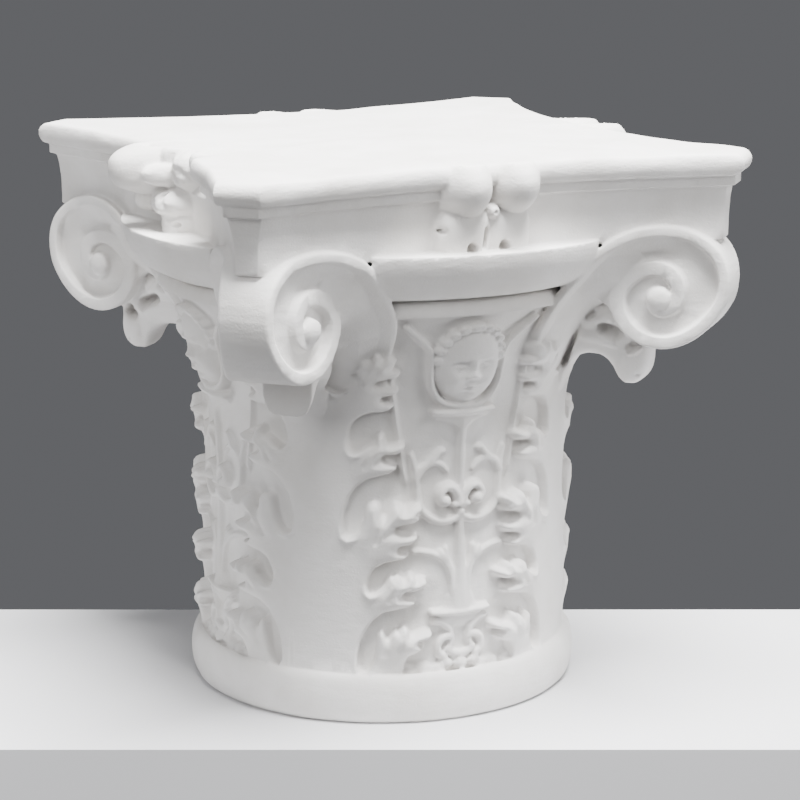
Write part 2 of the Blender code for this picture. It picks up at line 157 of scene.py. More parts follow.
@dataclass
class Carving:
    """Heights carved over a flat field, in shares of the capital's height."""

    x: np.ndarray
    z: np.ndarray
    top: np.ndarray = field(init=False)

    def __post_init__(self) -> None:
        """Starts with bare ground."""
        self.top = np.zeros_like(self.x)

    def to_line(self, a: tuple[float, float], b: tuple[float, float]) -> tuple[np.ndarray, np.ndarray]:
        """Measures each place against the straight line from a to b.

        Args:
            a: Where the line starts.
            b: Where it ends.

        Returns:
            The distance to the line, and the share of the way along it.
        """
        dx, dz = b[0] - a[0], b[1] - a[1]
        t = ((self.x - a[0]) * dx + (self.z - a[1]) * dz) / (dx * dx + dz * dz + 1e-12)
        t = np.clip(t, 0.0, 1.0)
        return np.hypot(self.x - a[0] - t * dx, self.z - a[1] - t * dz), t

    def bar(self, a: tuple[float, float], b: tuple[float, float], wide: tuple[float, float],
            high: tuple[float, float]) -> None:
        """Raises a rounded bar from a to b.

        Args:
            a: Where it starts.
            b: Where it ends.
            wide: Half-widths at both ends.
            high: Heights at both ends.
        """
        d, t = self.to_line(a, b)
        part = np.clip(1.0 - d / (wide[0] + (wide[1] - wide[0]) * t), 0.0, 1.0)
        self.raise_to((high[0] + (high[1] - high[0]) * t) * np.sqrt(1.0 - (1.0 - part) ** BAR_CROWN))

    def run(self, points: list[tuple[float, float]], wide: tuple[float, float],
            high: tuple[float, float], steps: int = 5) -> None:
        """Raises a rounded stroke along a smooth line through the points.

        Args:
            points: The line's points.
            wide: Half-widths at its ends.
            high: Heights at its ends.
            steps: Straight pieces between two points.
        """
        n = len(points)
        fine = np.linspace(0.0, n - 1.0, (n - 1) * steps + 1)
        p = np.asarray(points, float)
        pad = np.vstack([2 * p[0] - p[1], p, 2 * p[-1] - p[-2]])
        k = np.clip(fine.astype(int), 0, n - 2)
        s = (fine - k)[:, None]
        a, b, c, d = pad[k], pad[k + 1], pad[k + 2], pad[k + 3]
        way = 0.5 * (2 * b + (c - a) * s + (2 * a - 5 * b + 4 * c - d) * s ** 2
                     + (3 * b - a - 3 * c + d) * s ** 3)
        share = fine / (n - 1)
        for i in range(len(way) - 1):
            w = [wide[0] + (wide[1] - wide[0]) * share[i + j] for j in (0, 1)]
            h = [high[0] + (high[1] - high[0]) * share[i + j] for j in (0, 1)]
            self.bar(tuple(way[i]), tuple(way[i + 1]), (w[0], w[1]), (h[0], h[1]))

    def knob(self, at: tuple[float, float], wide: float, tall: float, high: float) -> None:
        """Raises a rounded lump."""
        d = ((self.x - at[0]) / wide) ** 2 + ((self.z - at[1]) / tall) ** 2
        self.raise_to(high * np.sqrt(np.clip(1.0 - d, 0.0, 1.0)))

    def sink(self, a: tuple[float, float], b: tuple[float, float], wide: float, deep: float) -> None:
        """Cuts a soft-edged groove, or a drilled hole where a and b are close."""
        d, _ = self.to_line(a, b)
        self.top -= deep * smooth(SINK_STEEPNESS * (1.0 - d / wide))

    def inside(self, outline: list[tuple[float, float]]) -> np.ndarray:
        """Measures each place against a closed outline.

        Args:
            outline: The outline's corners in order.

        Returns:
            The distance to the outline, positive inside it.
        """
        best = np.full_like(self.x, 9.0)
        within = np.zeros(self.x.shape, bool)
        for a, b in zip(outline, outline[1:] + outline[:1]):
            best = np.minimum(best, self.to_line(a, b)[0])
            if a[1] != b[1]:
                crosses = (a[1] > self.z) != (b[1] > self.z)
                within ^= crosses & (self.x < (b[0] - a[0]) * (self.z - a[1]) / (b[1] - a[1]) + a[0])
        return np.where(within, best, -best)

    def raise_to(self, high: np.ndarray) -> None:
        """Keeps whichever is higher, what is there or this."""
        self.top = np.maximum(self.top, high)


def grid_object(name: str, across: int, along: int, places: np.ndarray) -> bpy.types.Object:
    """A primitive grid rolled into a closed skin.

    Args:
        name: The object's name.
        across: Faces round it.
        along: Faces along it, with a pole at either end.
        places: Array (along + 1, across + 1, 3) of points, in shares of the height.

    Returns:
        The new object, in metres.
    """
    bpy.ops.object.select_all(action="DESELECT")
    bpy.ops.mesh.primitive_grid_add(x_subdivisions=across, y_subdivisions=along, size=1.0)
    piece = bpy.context.active_object
    piece.name = piece.data.name = name
    mesh = piece.data
    flat = np.empty(len(mesh.vertices) * 3)
    mesh.vertices.foreach_get("co", flat)
    flat = flat.reshape(-1, 3) + 0.5
    col, row = np.rint(flat[:, 0] * across).astype(int), np.rint(flat[:, 1] * along).astype(int)
    places = places.copy()
    places[:, -1], places[0], places[-1] = places[:, 0], places[0].mean(0), places[-1].mean(0)
    mesh.vertices.foreach_set("co", (places[row, col] * HEIGHT).ravel())
    mesh.update()
    bpy.ops.object.mode_set(mode="EDIT")
    bpy.ops.mesh.select_all(action="SELECT")
    bpy.ops.mesh.remove_doubles(threshold=1e-6)
    bpy.ops.mesh.normals_make_consistent(inside=False)
    bpy.ops.object.mode_set(mode="OBJECT")
    return piece


DEGREE = math.radians(1.0) * 0.338
"""Length of one degree of turn over the leaves."""


@dataclass
class Leaf:
    """Half of one acanthus leaf: a broad stem and five hands, in degrees from its rib and in height.

    The edge is one line from the foot to the top. It runs round each hand's knuckles and drilled notches,
    then down into the hollow above and up the stem again. A hand is a line from its root to its tip, along
    which it rises, and each hollow top is the line that parts two hands. A lip is a place in the bottom of a
    hollow, with its size, where the edge stands up as a crescent. Drilled holes, furrows and the slot beside
    the scroll are lines from one place to another.
    """

    rim: tuple[tuple[float, float], ...] = (
        (-2.0, 0.060), (26.0, 0.060), (26.5, 0.095), (27.0, 0.108), (27.8, 0.118), (30.6, 0.125), (33.0, 0.1345),
        (32.2, 0.1385), (31.2, 0.1395), (31.0, 0.1440), (32.8, 0.1460), (34.4, 0.1510), (35.2, 0.1580),
        (35.0, 0.1640), (33.6, 0.1665), (31.5, 0.1630), (29.5, 0.1595), (28.3, 0.1620), (27.7, 0.1720),
        (26.6, 0.1770), (25.5, 0.1725), (24.7, 0.1670), (23.8, 0.1700), (22.8, 0.1640), (21.7, 0.1530),
        (20.9, 0.1560), (20.3, 0.1670), (19.2, 0.1690), (18.4, 0.1580), (18.0, 0.1400), (17.4, 0.1120),
        (16.2, 0.0940), (14.6, 0.0870), (13.0, 0.0900), (12.2, 0.1020), (12.3, 0.1220), (13.2, 0.1480),
        (14.8, 0.1680), (17.2, 0.1860), (20.2, 0.1990), (24.5, 0.2045), (27.2, 0.2080), (29.6, 0.2140),
        (30.3, 0.2190), (29.0, 0.2240), (27.4, 0.2255), (26.4, 0.2300), (27.2, 0.2360), (29.6, 0.2375),
        (31.6, 0.2430), (33.4, 0.2520), (33.4, 0.2585), (31.8, 0.2620), (30.3, 0.2590), (29.3, 0.2680),
        (27.9, 0.2705), (26.9, 0.2630), (25.6, 0.2650), (24.4, 0.2715), (23.3, 0.2670), (22.4, 0.2690),
        (21.4, 0.2620), (20.6, 0.2515), (19.2, 0.2435), (17.6, 0.2365), (16.3, 0.2345), (15.4, 0.2390),
        (15.2, 0.2520), (16.0, 0.2660), (17.6, 0.2790), (20.2, 0.2880), (23.6, 0.2925), (26.2, 0.2960),
        (28.2, 0.3020), (27.6, 0.3060), (25.4, 0.3080), (24.5, 0.3130), (25.6, 0.3190), (28.2, 0.3210),
        (29.6, 0.3275), (30.8, 0.3345), (30.2, 0.3410), (28.0, 0.3425), (25.4, 0.3425), (23.9, 0.3470),
        (24.1, 0.3540), (26.0, 0.3590), (28.6, 0.3605), (30.6, 0.3650), (31.5, 0.3720), (30.8, 0.3770),
        (31.8, 0.3830), (32.2, 0.3920), (30.8, 0.3985), (28.6, 0.3945), (26.8, 0.3900), (25.4, 0.3960),
        (23.6, 0.3985), (22.4, 0.3910), (21.5, 0.3800), (20.6, 0.3740), (19.9, 0.3790), (19.7, 0.3910),
        (18.8, 0.4010), (17.0, 0.4030), (15.4, 0.3970), (14.8, 0.3850), (14.4, 0.3680), (13.2, 0.3500),
        (11.6, 0.3385), (9.6, 0.3345), (8.2, 0.3400), (7.8, 0.3580), (8.2, 0.3820), (9.6, 0.4080),
        (12.2, 0.4280), (15.6, 0.4405), (19.4, 0.4465), (22.0, 0.4510), (24.2, 0.4590), (24.4, 0.4660),
        (22.6, 0.4700), (20.6, 0.4720), (19.8, 0.4780), (21.2, 0.4840), (24.2, 0.4855), (26.0, 0.4910),
        (27.0, 0.5000), (26.4, 0.5070), (24.8, 0.5085), (23.2, 0.5050), (21.6, 0.5040), (20.7, 0.5110),
        (20.7, 0.5200), (19.4, 0.5255), (18.3, 0.5190), (17.8, 0.5090), (16.4, 0.5040), (14.8, 0.5000),
        (13.6, 0.4935), (12.2, 0.4885), (10.8, 0.4885), (9.8, 0.4950), (9.4, 0.5120), (10.0, 0.5300),
        (11.6, 0.5450), (14.2, 0.5555), (17.4, 0.5605), (19.4, 0.5605), (21.8, 0.5650), (23.4, 0.5730),
        (22.6, 0.5785), (20.8, 0.5790), (19.8, 0.5830), (20.4, 0.5890), (22.8, 0.5910), (24.6, 0.5980),
        (24.4, 0.6055), (22.4, 0.6075), (19.6, 0.6065), (18.0, 0.6100), (18.8, 0.6170), (21.4, 0.6215),
        (23.8, 0.6230), (25.0, 0.6300), (24.4, 0.6380), (22.9, 0.6410), (23.4, 0.6480), (24.0, 0.6560),
        (22.9, 0.6650), (21.3, 0.6670), (20.2, 0.6620), (19.4, 0.6700), (18.0, 0.6710), (17.1, 0.6630),
        (15.8, 0.6610), (14.8, 0.6670), (13.4, 0.6640), (12.4, 0.6570), (11.2, 0.6550), (10.2, 0.6400),
        (9.8, 0.6200), (9.0, 0.6040), (7.2, 0.6000), (5.2, 0.6060), (4.4, 0.6220), (4.8, 0.6480),
        (6.4, 0.6720), (8.2, 0.6900), (9.0, 0.7000), (9.6, 0.7800), (-2.0, 0.7800))
    hands: tuple[tuple[float, float, float, float], ...] = (
        (19.0, 0.095, 27.5, 0.170), (14.0, 0.175, 27.5, 0.266), (12.0, 0.260, 26.0, 0.398),
        (10.0, 0.420, 22.0, 0.515), (9.0, 0.530, 20.0, 0.665))
    hollow_tops: tuple[tuple[tuple[float, ...], tuple[float, ...]], ...] = (
        ((11.0, 12.2, 13.2, 14.8, 17.2, 20.2, 24.5, 30.0),
         (0.100, 0.120, 0.148, 0.168, 0.186, 0.199, 0.2045, 0.214)),
        ((14.0, 15.4, 16.0, 17.6, 20.2, 23.6, 28.4), (0.240, 0.250, 0.266, 0.279, 0.288, 0.2925, 0.302)),
        ((7.0, 8.0, 9.6, 12.2, 15.6, 19.4, 24.0), (0.345, 0.370, 0.408, 0.428, 0.4405, 0.4465, 0.458)),
        ((9.0, 9.8, 11.6, 14.2, 17.4, 19.4, 23.4), (0.500, 0.525, 0.545, 0.5555, 0.5605, 0.5605, 0.573)))
    lips: tuple[tuple[float, float, float], ...] = (
        (14.6, 0.0830, 0.0150), (16.6, 0.2310, 0.0120), (9.8, 0.3300, 0.0160), (11.4, 0.4840, 0.0140),
        (7.2, 0.5960, 0.0140))
    drilled: tuple[tuple[float, float, float, float], ...] = (
        (31.4, 0.1420, 33.4, 0.1440), (26.9, 0.2305, 29.6, 0.2330), (25.2, 0.3135, 27.6, 0.3160),
        (24.6, 0.3500, 28.6, 0.3560), (20.6, 0.4780, 24.0, 0.4800), (20.4, 0.5850, 22.4, 0.5870),
        (18.9, 0.6120, 22.6, 0.6180), (12.4, 0.6380, 12.5, 0.6380), (20.5, 0.3790, 20.8, 0.3830))
    furrows: tuple[tuple[float, float, float, float], ...] = (
        (21.6, 0.154, 20.8, 0.125), (28.6, 0.160, 25.0, 0.132), (26.9, 0.264, 22.0, 0.225), (30.3, 0.259, 25.0, 0.226),
        (20.6, 0.376, 18.0, 0.330), (26.9, 0.391, 21.0, 0.340), (18.0, 0.508, 15.0, 0.465), (22.4, 0.505, 18.0, 0.470),
        (17.2, 0.662, 15.0, 0.620), (20.3, 0.663, 17.0, 0.625), (14.2, 0.664, 13.6, 0.630))
    slot: tuple[float, float, float, float] = (7.6, 0.618, 8.8, 0.674)
    stem_heights: tuple[float, ...] = (0.080, 0.120, 0.200, 0.240, 0.345, 0.400, 0.490, 0.560, 0.600, 0.700)
    stem_edges: tuple[float, ...] = (14.0, 12.0, 13.0, 13.0, 8.4, 8.0, 9.5, 8.5, 5.2, 7.0)
    thick: float = 0.0200
    proud: float = 0.0220
    stem_rounding: float = 0.0030
    hand_rounding: float = 0.0035
    groove_wide: float = 0.0028
    groove_deep: float = 0.0090
    groove_outside: float = 0.0035
    lip_wide: float = 0.0040
    lip_high: float = 0.0065
    lip_inside: float = 0.0050
    furrow_wide: float = 0.0080
    furrow_deep: float = 0.0036
    hole_wide: float = 0.0076
    hole_deep: float = 0.046
    slot_wide: float = 0.0200
    slot_deep: float = 0.110
    floor: float = -0.030

    def carve(self, deg: np.ndarray, z: np.ndarray) -> np.ndarray:
        """Carves half the leaf.

        Args:
            deg: Degrees from the rib.
            z: Heights.

        Returns:
            How far the leaf stands off the bell at each place.
        """
        carving = Carving(deg * DEGREE, z)
        inside = carving.inside([(d * DEGREE, h) for d, h in self.rim])
        off_stem = smooth((deg - np.interp(z, self.stem_heights, self.stem_edges)) / 6.0)
        which = sum((z > np.interp(deg, *line)).astype(int) for line in self.hollow_tops)
        rise = np.zeros_like(z)
        for k, (d0, z0, d1, z1) in enumerate(self.hands):
            dx, dz = (d1 - d0) * DEGREE, z1 - z0
            t = ((carving.x - d0 * DEGREE) * dx + (z - z0) * dz) / (dx * dx + dz * dz)
            rise = np.where(which == k, smooth(t * 0.9) * self.proud, rise)
        top = self.thick + rise * off_stem * (0.35 + 0.65 * smooth(inside / 0.020))
        soft = np.clip(inside / (self.stem_rounding + self.hand_rounding * off_stem), 0.0, 1.0)
        carving.raise_to(top * np.sqrt(1.0 - (1.0 - soft) ** 2))
        carving.top -= self.groove_deep * np.exp(-((inside + self.groove_outside) / self.groove_wide) ** 2)
        for d, h, size in self.lips:
            near = np.exp(-(((carving.x - d * DEGREE) / (1.3 * size)) ** 2 + ((z - h) / (1.3 * size)) ** 2))
            carving.top += self.lip_high * near * np.exp(-((inside - self.lip_inside) / self.lip_wide) ** 2)
        for d0, z0, d1, z1 in self.furrows:
            carving.sink((d0 * DEGREE, z0), (d1 * DEGREE, z1), self.furrow_wide, self.furrow_deep)
        for d0, z0, d1, z1 in self.drilled:
            carving.sink((d0 * DEGREE, z0), (d1 * DEGREE, z1), self.hole_wide, self.hole_deep)
        carving.top = np.maximum(carving.top, self.floor)
        d0, z0, d1, z1 = self.slot
        carving.sink((d0 * DEGREE, z0), (d1 * DEGREE, z1), self.slot_wide, self.slot_deep)
        return carving.top


@dataclass
class ChildHead:
    """A child's head of a calm, general face, with a row of curls over it.

    A feature is its height off the face, then its place and half-sizes in shares of the face's own.
    """

    middle: float = 0.6400
    half_wide: float = 0.0570
    half_tall: float = 0.0690
    high: float = 0.0360
    features: tuple[tuple[float, float, float, float, float], ...] = (
        (-0.0130, 0.36, 0.05, 0.20, 0.13),      # eye socket
        (0.0100, 0.36, 0.03, 0.14, 0.075),      # eyeball
        (-0.0034, 0.36, -0.035, 0.13, 0.018),   # crease under the eye
        (-0.0034, 0.36, 0.105, 0.15, 0.018),    # crease over the lid
        (0.0042, 0.34, 0.23, 0.26, 0.060),      # brow
        (0.0075, 0.0, 0.02, 0.085, 0.22),       # bridge of the nose
        (0.0130, 0.0, -0.20, 0.13, 0.10),       # its tip
        (0.0055, 0.15, -0.245, 0.07, 0.055),    # its wing
        (-0.0040, 0.08, -0.30, 0.05, 0.024),    # nostril
        (0.0080, 0.48, -0.32, 0.26, 0.24),      # cheek
        (0.0070, 0.0, -0.47, 0.20, 0.050),      # upper lip
        (0.0075, 0.0, -0.59, 0.16, 0.050),      # lower lip
        (-0.0065, 0.0, -0.53, 0.24, 0.020),     # line of the mouth
        (-0.0030, 0.0, -0.68, 0.20, 0.035),     # dip under the lip
        (0.0075, 0.0, -0.82, 0.22, 0.10),       # chin
        (0.0030, 0.0, 0.62, 0.60, 0.28))        # forehead
    curls: int = 6
    first_curl: float = 4.0
    curl_step: float = 17.0
    curl_arc: tuple[float, float] = (0.0530, 0.0600)
    curl_lift: float = 0.012
    curl_size: tuple[float, float, float] = (0.0105, 0.0100, 0.0270)
    curl_hole: tuple[float, float] = (0.0045, 0.006)

    def carve(self, carving: Carving) -> None:
        """Raises the head out of a panel.

        Args:
            carving: The panel, carved so far.
        """
        up, side = (carving.z - self.middle) / self.half_tall, carving.x / self.half_wide
        head = self.high * np.clip(1.0 - side ** 2 - up ** 2, 0.0, 1.0) ** 0.42
        face = sum(high * np.exp(-((side - cx) / rx) ** 2 - ((up - cz) / rz) ** 2)
                   for high, cx, cz, rx, rz in self.features)
        carving.raise_to(head + smooth(head / 0.016) * face)
        for k in range(self.curls):
            way = math.radians(self.first_curl + self.curl_step * k)
            at = (math.sin(way) * self.curl_arc[0], self.middle + self.curl_lift + math.cos(way) * self.curl_arc[1])
            carving.knob(at, *self.curl_size)
            carving.sink(at, at, *self.curl_hole)


@dataclass
class Bell:
    """The carved bell with its ring, lip and echinus, turned about the upright axis.

    The lip is given by shares of its height and how far each stands out past the echinus's foot. The lip and
    echinus end blunt in front of the stalks, blunt_end degrees from each corner.
    """

    foot_radius: float = 0.3377
    ring_swell: float = 0.0200
    ring_height: float = 0.0880
    radius: float = 0.3180
    flare_radius: float = 0.3900
    flare_power: int = 8
    lip_foot: float = 0.7360
    lip: tuple[tuple[float, float], ...] = ((0.02, 0.0120), (0.08, 0.0180), (0.30, 0.0170), (0.60, 0.0130),
                                            (0.82, 0.0090), (0.86, 0.0015), (1.0, 0.0015))
    echinus_foot: float = 0.7670
    echinus_foot_radius: float = 0.3900
    echinus_radius: float = 0.4710
    echinus_top: float = 0.8530
    blunt_end: float = 18.0
    blunt_deep: float = 0.050
    ring_rows: int = 40
    bell_rows: int = 470
    echinus_rows: int = 48
    octant_columns: int = 180
    leaf: Leaf = field(default_factory=Leaf)
    head: ChildHead = field(default_factory=ChildHead)

    def carve_panel(self, deg: np.ndarray, z: np.ndarray) -> np.ndarray:
        """Carves half a face between two leaves: a head in a calyx over a stem with scrolled arms.

        Args:
            deg: Degrees from the face's middle.
            z: Heights.

        Returns:
            How far the carving stands off the bell at each place.
        """
        unit = math.radians(1.0) * 0.322
        carving = Carving(deg * unit, z)
        x = carving.x
        edge = np.interp(z, (0.40, 0.45, 0.51, 0.60, 0.68, 0.73), (17.0, 18.4, 20.0, 22.2, 23.4, 24.4)) * unit
        carving.raise_to(0.0110 * np.exp(-((x - edge) / 0.0042) ** 2) * smooth((z - 0.415) / 0.03))
        self.head.carve(carving)
        carving.run([(0.0, 0.5655), (0.0220, 0.5680), (0.0450, 0.5790), (0.0600, 0.6050), (0.0640, 0.6400),
                     (0.0650, 0.6680), (0.0760, 0.6850), (0.1050, 0.7180)], (0.0070, 0.0060), (0.0230, 0.0160))
        carving.run([(0.0, 0.5560), (0.0300, 0.5560), (0.0520, 0.5575)], (0.0085, 0.0075), (0.0270, 0.0230))
        carving.bar((0.0, 0.5440), (0.0, 0.5440), (0.0480, 0.0480), (0.004, 0.004))
        for k in range(8):
            s = k / 7.0
            half = 0.0085 + 0.0430 * (1.0 - s) ** 2.6
            level = 0.5470 - 0.0300 * s
            carving.bar((0.0, level), (half - 0.006, level), (0.0060, 0.0060),
                        (0.0150, 0.0150 - 0.006 * (1 - s)))
        carving.bar((0.0, 0.5300), (0.0, 0.4000), (0.0085, 0.0065), (0.0140, 0.0110))
        carving.bar((0.0, 0.3700), (0.0, 0.2600), (0.0062, 0.0110), (0.0110, 0.0120))
        carving.bar((0.0, 0.2600), (0.0, 0.2000), (0.0110, 0.0230), (0.0120, 0.0150))
        carving.bar((0.0, 0.2060), (0.0, 0.1980), (0.0300, 0.0380), (0.0100, 0.0110))
        carving.run([(0.0, 0.3680), (0.0240, 0.3580), (0.0480, 0.3620), (0.0700, 0.3780), (0.0790, 0.4020),
                     (0.0810, 0.4300), (0.0840, 0.4560), (0.0900, 0.4800)], (0.0075, 0.0055), (0.0130, 0.0100))
        carving.run([(0.0820, 0.4400), (0.0720, 0.4560), (0.0560, 0.4640), (0.0400, 0.4630), (0.0250, 0.4480)],
                    (0.0080, 0.0040), (0.0120, 0.0080))
        carving.run([(0.0560, 0.4660), (0.0480, 0.4760), (0.0400, 0.4860), (0.0330, 0.4850)], (0.0075, 0.0045),
                    (0.0120, 0.0090))
        carving.run([(0.0040, 0.3900), (0.0080, 0.4080), (0.0200, 0.4200), (0.0330, 0.4180), (0.0400, 0.4060),
                     (0.0360, 0.3960)], (0.0080, 0.0085), (0.0160, 0.0200))
        carving.knob((0.0310, 0.3960), 0.0120, 0.0120, 0.0230)
        carving.bar((0.0, 0.3900), (0.0120, 0.3880), (0.0065, 0.0065), (0.0170, 0.0170))
        carving.knob((0.0, 0.3740), 0.0090, 0.0100, 0.0160)
        carving.run([(0.0140, 0.2050), (0.0150, 0.2300), (0.0180, 0.2600), (0.0280, 0.2830), (0.0480, 0.2990),
                     (0.0740, 0.3060), (0.0860, 0.3060)], (0.0055, 0.0045), (0.0110, 0.0080))
        carving.run([(0.0160, 0.2480), (0.0170, 0.2700), (0.0250, 0.2900), (0.0270, 0.3080)], (0.0055, 0.0045),
                    (0.0100, 0.0090))
        carving.bar((0.0300, 0.2920), (0.0380, 0.3040), (0.0055, 0.0040), (0.0110, 0.0090))
        carving.run([(0.0, 0.1920), (0.0300, 0.1920), (0.0530, 0.1935)], (0.0070, 0.0060), (0.0190, 0.0170))
        carving.run([(0.0, 0.1790), (0.0200, 0.1790), (0.0340, 0.1800)], (0.0090, 0.0080), (0.0120, 0.0100))
        carving.run([(0.0500, 0.1780), (0.0370, 0.1760), (0.0270, 0.1680), (0.0200, 0.1600)], (0.0060, 0.0070),
                    (0.0130, 0.0120))
        carving.run([(0.0200, 0.1600), (0.0160, 0.1400), (0.0220, 0.1240)], (0.0060, 0.0060), (0.0110, 0.0110))
        carving.run([(0.0180, 0.1480), (0.0320, 0.1460), (0.0420, 0.1340), (0.0400, 0.1180), (0.0300, 0.1100),
                     (0.0340, 0.0960)], (0.0070, 0.0075), (0.0130, 0.0130))
        carving.run([(0.0, 0.1120), (0.0140, 0.1160), (0.0240, 0.1240)], (0.0085, 0.0075), (0.0120, 0.0120))
        carving.knob((0.0, 0.0960), 0.0150, 0.0140, 0.0180)
        carving.knob((0.0240, 0.0980), 0.0110, 0.0100, 0.0150)
        carving.knob((0.0, 0.0720), 0.0140, 0.0120, 0.0150)
        carving.sink((0.0160, 0.0850), (0.0160, 0.0850), 0.0085, 0.020)
        for at, wide, tall in ((0.040, 0.017, 0.011), (0.066, 0.015, 0.012), (0.094, 0.016, 0.010),
                               (0.116, 0.014, 0.010)):
            carving.knob((at, 0.0900), wide, tall, 0.0140)
        return carving.top

    def profile(self) -> np.ndarray:
        """Rows of the turned profile from the foot's middle to the top's middle.

        Returns:
            Array of radius, height and how much carving each row takes.
        """
        rows = [(0.0, 0.0, 0.0), (0.2, 0.0, 0.0)]
        for k in range(self.ring_rows + 1):
            t = math.pi * (k / self.ring_rows - 0.5)
            rows.append((self.foot_radius + self.ring_swell * math.cos(t) ** 0.8,
                         self.ring_height * (0.5 + 0.5 * math.sin(t)), 0.0))
        rows[2] = (self.foot_radius - 0.004, 0.0, 0.0)
        for k in range(self.bell_rows + 1):
            s = k / self.bell_rows
            z = self.ring_height - 0.012 + (self.lip_foot - self.ring_height + 0.012) * s
            rows.append((self.radius + (self.flare_radius - self.radius) * s ** self.flare_power, z, 1.0))
        for share, proud in self.lip:
            rows.append((self.echinus_foot_radius + proud,
                         self.lip_foot + (self.echinus_foot - self.lip_foot) * share, 0.0))
        for k in range(self.echinus_rows + 1):
            t = math.pi / 2 * k / self.echinus_rows
            rows.append((self.echinus_foot_radius + (self.echinus_radius - self.echinus_foot_radius) * math.sin(t),
                         self.echinus_foot + (self.echinus_top - self.echinus_foot) * (1 - math.cos(t)), 0.0))
        rows += [(self.echinus_radius * 0.96, self.echinus_top, 0.0), (0.3, self.echinus_top, 0.0),
                 (0.0, self.echinus_top, 0.0)]
        return np.array(rows)

    def build(self) -> bpy.types.Object:
        """Builds the turned and carved middle of the capital.

        Returns:
            The new object.
        """
        rows = self.profile()
        columns = 8 * self.octant_columns
        off = np.linspace(0.0, 45.0, self.octant_columns + 1)
        face, level = np.meshgrid(off, rows[:, 1])
        octant = np.maximum(self.leaf.carve(45.0 - face, level), self.carve_panel(face, level))
        octant *= smooth((self.lip_foot - level) / 0.012) * rows[:, 2:3]
        turn = np.linspace(0.0, 360.0, columns + 1)
        step = np.rint(np.abs((turn + 45.0) % 90.0 - 45.0) / 45.0 * self.octant_columns).astype(int)
        carved = octant[:, step]
        way = np.radians(turn)[None, :]
        from_corner = 45.0 - np.abs((turn + 45.0) % 90.0 - 45.0)[None, :]
        collar = (rows[:, 1:2] > self.lip_foot - 0.004) & (rows[:, 0:1] > 0.31)
        blunt = smooth((self.blunt_end - from_corner) / 0.6) * collar
        cut = np.clip(rows[:, 0:1] - self.flare_radius + 0.010, 0.0, self.blunt_deep)
        radius = rows[:, 0:1] + carved - blunt * cut
        z = np.repeat(rows[:, 1:2], columns + 1, 1)
        x, y = radius * np.sin(way), -radius * np.cos(way)
        swell = ripple(x, y, z, 0.12, 3) * 0.0012 * smooth(rows[:, 0:1] / 0.25) * (z > 0.002)
        x, y = (radius + swell) * np.sin(way), -(radius + swell) * np.cos(way)
        return grid_object("bell", columns, len(rows) - 1, np.stack([x, y, z], 2))


